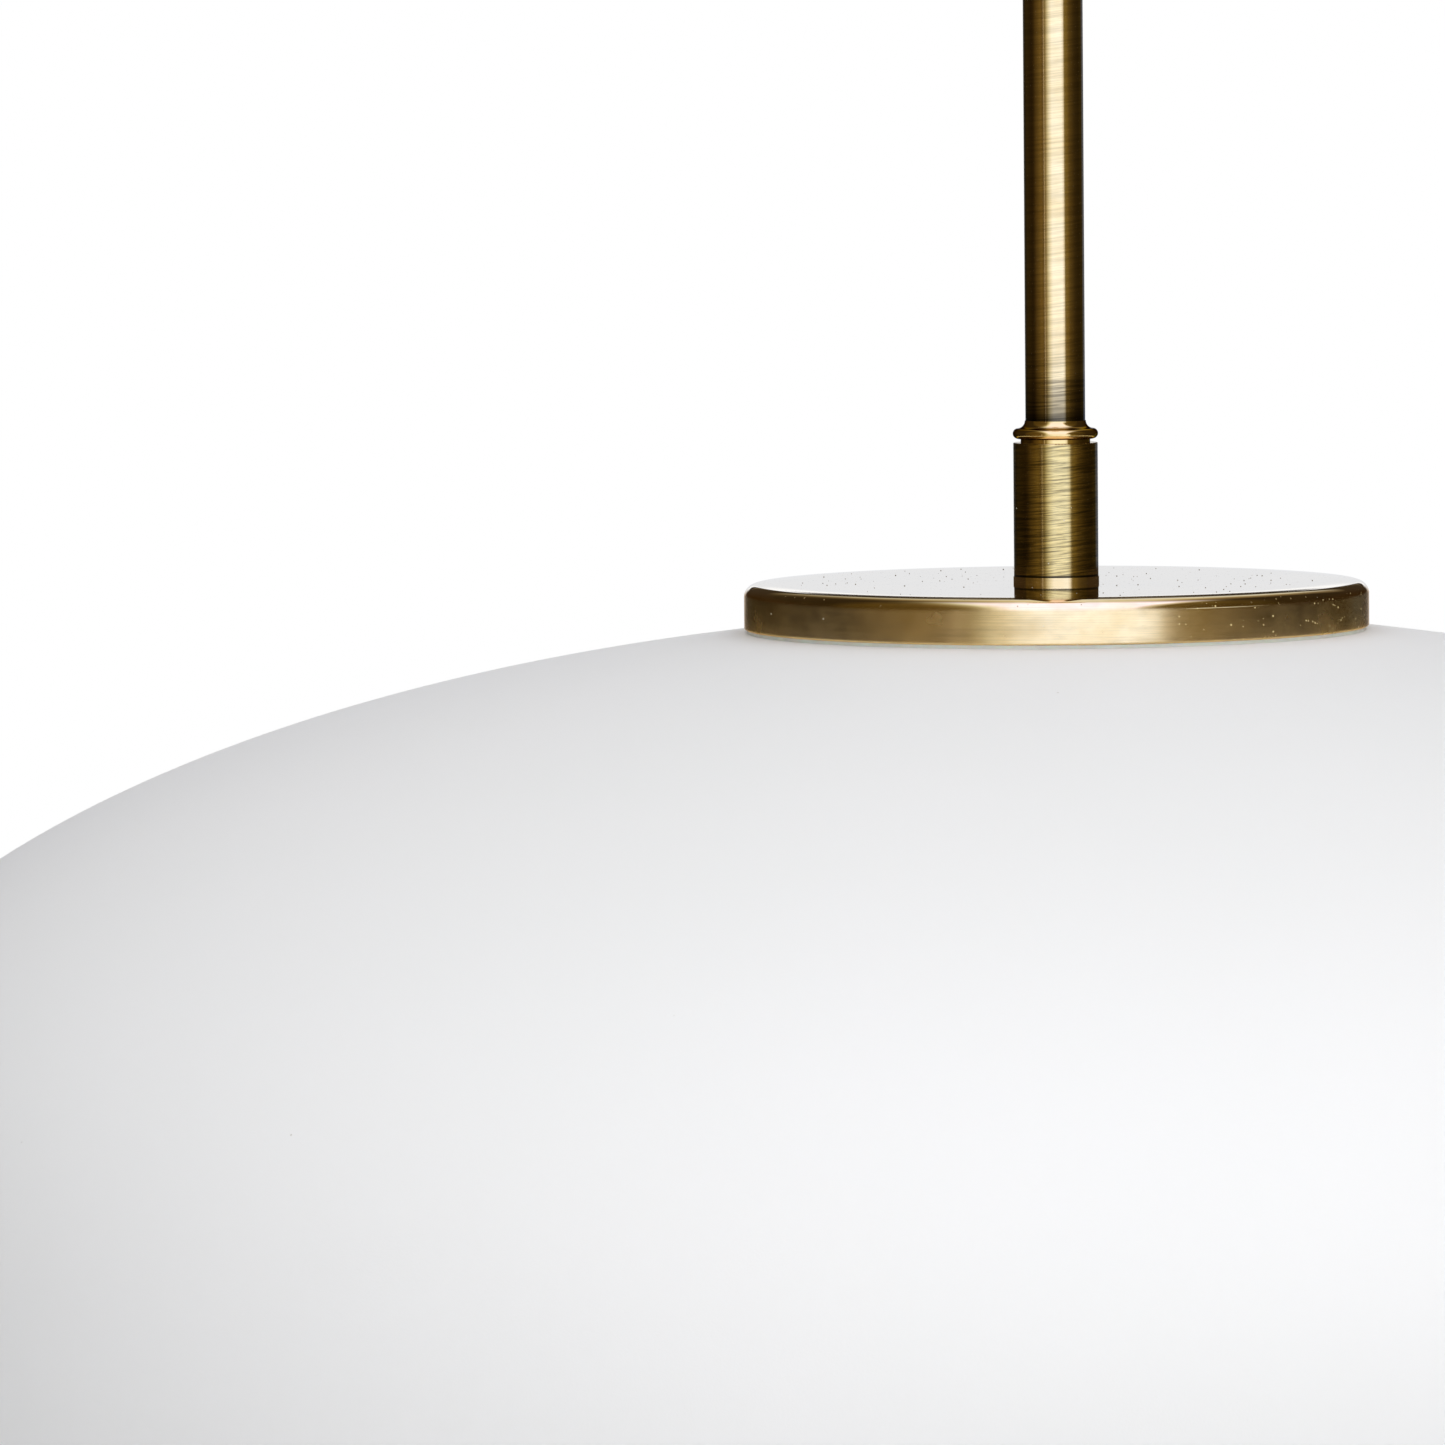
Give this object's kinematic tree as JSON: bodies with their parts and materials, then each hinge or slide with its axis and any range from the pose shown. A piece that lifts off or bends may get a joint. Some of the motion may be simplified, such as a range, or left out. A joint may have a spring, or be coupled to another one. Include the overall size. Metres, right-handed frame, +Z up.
{
  "type": "pendant ceiling light",
  "caption": "Pendant ceiling light: wide opal glass saucer shade under a round brass cap, on a brass rod with a swivel, from a brass ceiling canopy.",
  "frame": {"origin": "middle of the bracket's face that lies on the ceiling, midway between the two screw slots", "axes": "+Z up into the ceiling, so the light hangs along -Z; +X along the bracket, from slot to slot"},
  "size_m": [0.43, 0.4298, 0.7561],
  "materials": {
    "brass": "polished, finely brushed round, with a few scratches",
    "plain_brass": "turned, unpolished",
    "brass_screw": "turned",
    "opal_glass": "opal white, satin etched outside",
    "zinc_steel": "zinc plated",
    "spring_bronze": "spring bronze",
    "nylon": "natural nylon",
    "terminal_plastic": "moulded",
    "lead_sheath": "soft sheath",
    "brown_core": "brown insulation",
    "blue_core": "blue insulation",
    "earth_core": "green and yellow insulation",
    "aluminium": "turned",
    "bakelite": "moulded black",
    "porcelain": "glazed",
    "silicone": "translucent white",
    "nickel": "nickel plated",
    "solder": "solder",
    "black_glass": "fused insulator",
    "bulb_plastic": "moulded white",
    "bulb_frost": "frosted",
    "led_board": "white board"
  },
  "bodies": {
    "ceiling_plate": {"ceiling_bracket": "zinc_steel", "canopy": "brass", "canopy_side_screws": "brass", "seat_ring": "zinc_steel", "terminal_block": "terminal_plastic", "terminal_screws": "brass_screw", "terminal_mount_screw": "zinc_steel", "cord_grip": "nylon", "canopy_lead": "lead_sheath", "supply_core_live": "brown_core", "supply_core_neutral": "blue_core", "supply_core_earth": "earth_core"},
    "ball_cup": {"swivel_cup": "nylon"},
    "stem": {"swivel_ball": "brass", "stem_rod": "brass", "stem_lead": "lead_sheath", "swivel_spindle": "brass"},
    "lower_head": {"swivel_sleeve": "brass", "retaining_screw": "zinc_steel", "base_washer": "brass", "shade_cap": "brass", "cap_thread_ring": "aluminium", "threaded_nipple": "plain_brass", "lock_washer": "zinc_steel", "nipple_nut": "plain_brass", "holder_dome": "bakelite", "holder_body": "bakelite", "holder_insert": "porcelain", "holder_screw_shell": "plain_brass", "holder_centre_contact": "spring_bronze", "head_lead": "lead_sheath", "holder_core_live": "brown_core", "holder_core_neutral": "blue_core"},
    "shade": {"glass_shade": "opal_glass", "neck_ring": "aluminium", "shade_gasket": "silicone"},
    "bulb": {"bulb_screw_cap": "nickel", "bulb_insulator": "black_glass", "bulb_tip": "solder", "bulb_housing": "bulb_plastic", "bulb_led_board": "led_board", "bulb_envelope": "bulb_frost"}
  },
  "joints": [
    {"name": "hang_tilt_x", "type": "hinge", "parent": "ceiling_plate", "child": "ball_cup", "pos_m": [0, 0, -0.031], "axis": [1, 0, 0], "range_deg": [-15, 15]},
    {"name": "hang_tilt_y", "type": "hinge", "parent": "ball_cup", "child": "stem", "pos_m": [0, 0, -0.031], "axis": [0, 1, 0], "range_deg": [-15, 15]},
    {"name": "shade_turn", "type": "hinge", "parent": "stem", "child": "lower_head", "pos_m": [0, 0, -0.55], "axis": [0, 0, 1], "range_deg": [-150, 150]},
    {"name": "shade_release", "type": "slide", "parent": "lower_head", "child": "shade", "axis": [0, 0, -1], "range_m": [0, 0.18]},
    {"name": "bulb_release", "type": "slide", "parent": "lower_head", "child": "bulb", "axis": [0, 0, -1], "range_m": [0, 0.028]}
  ]
}
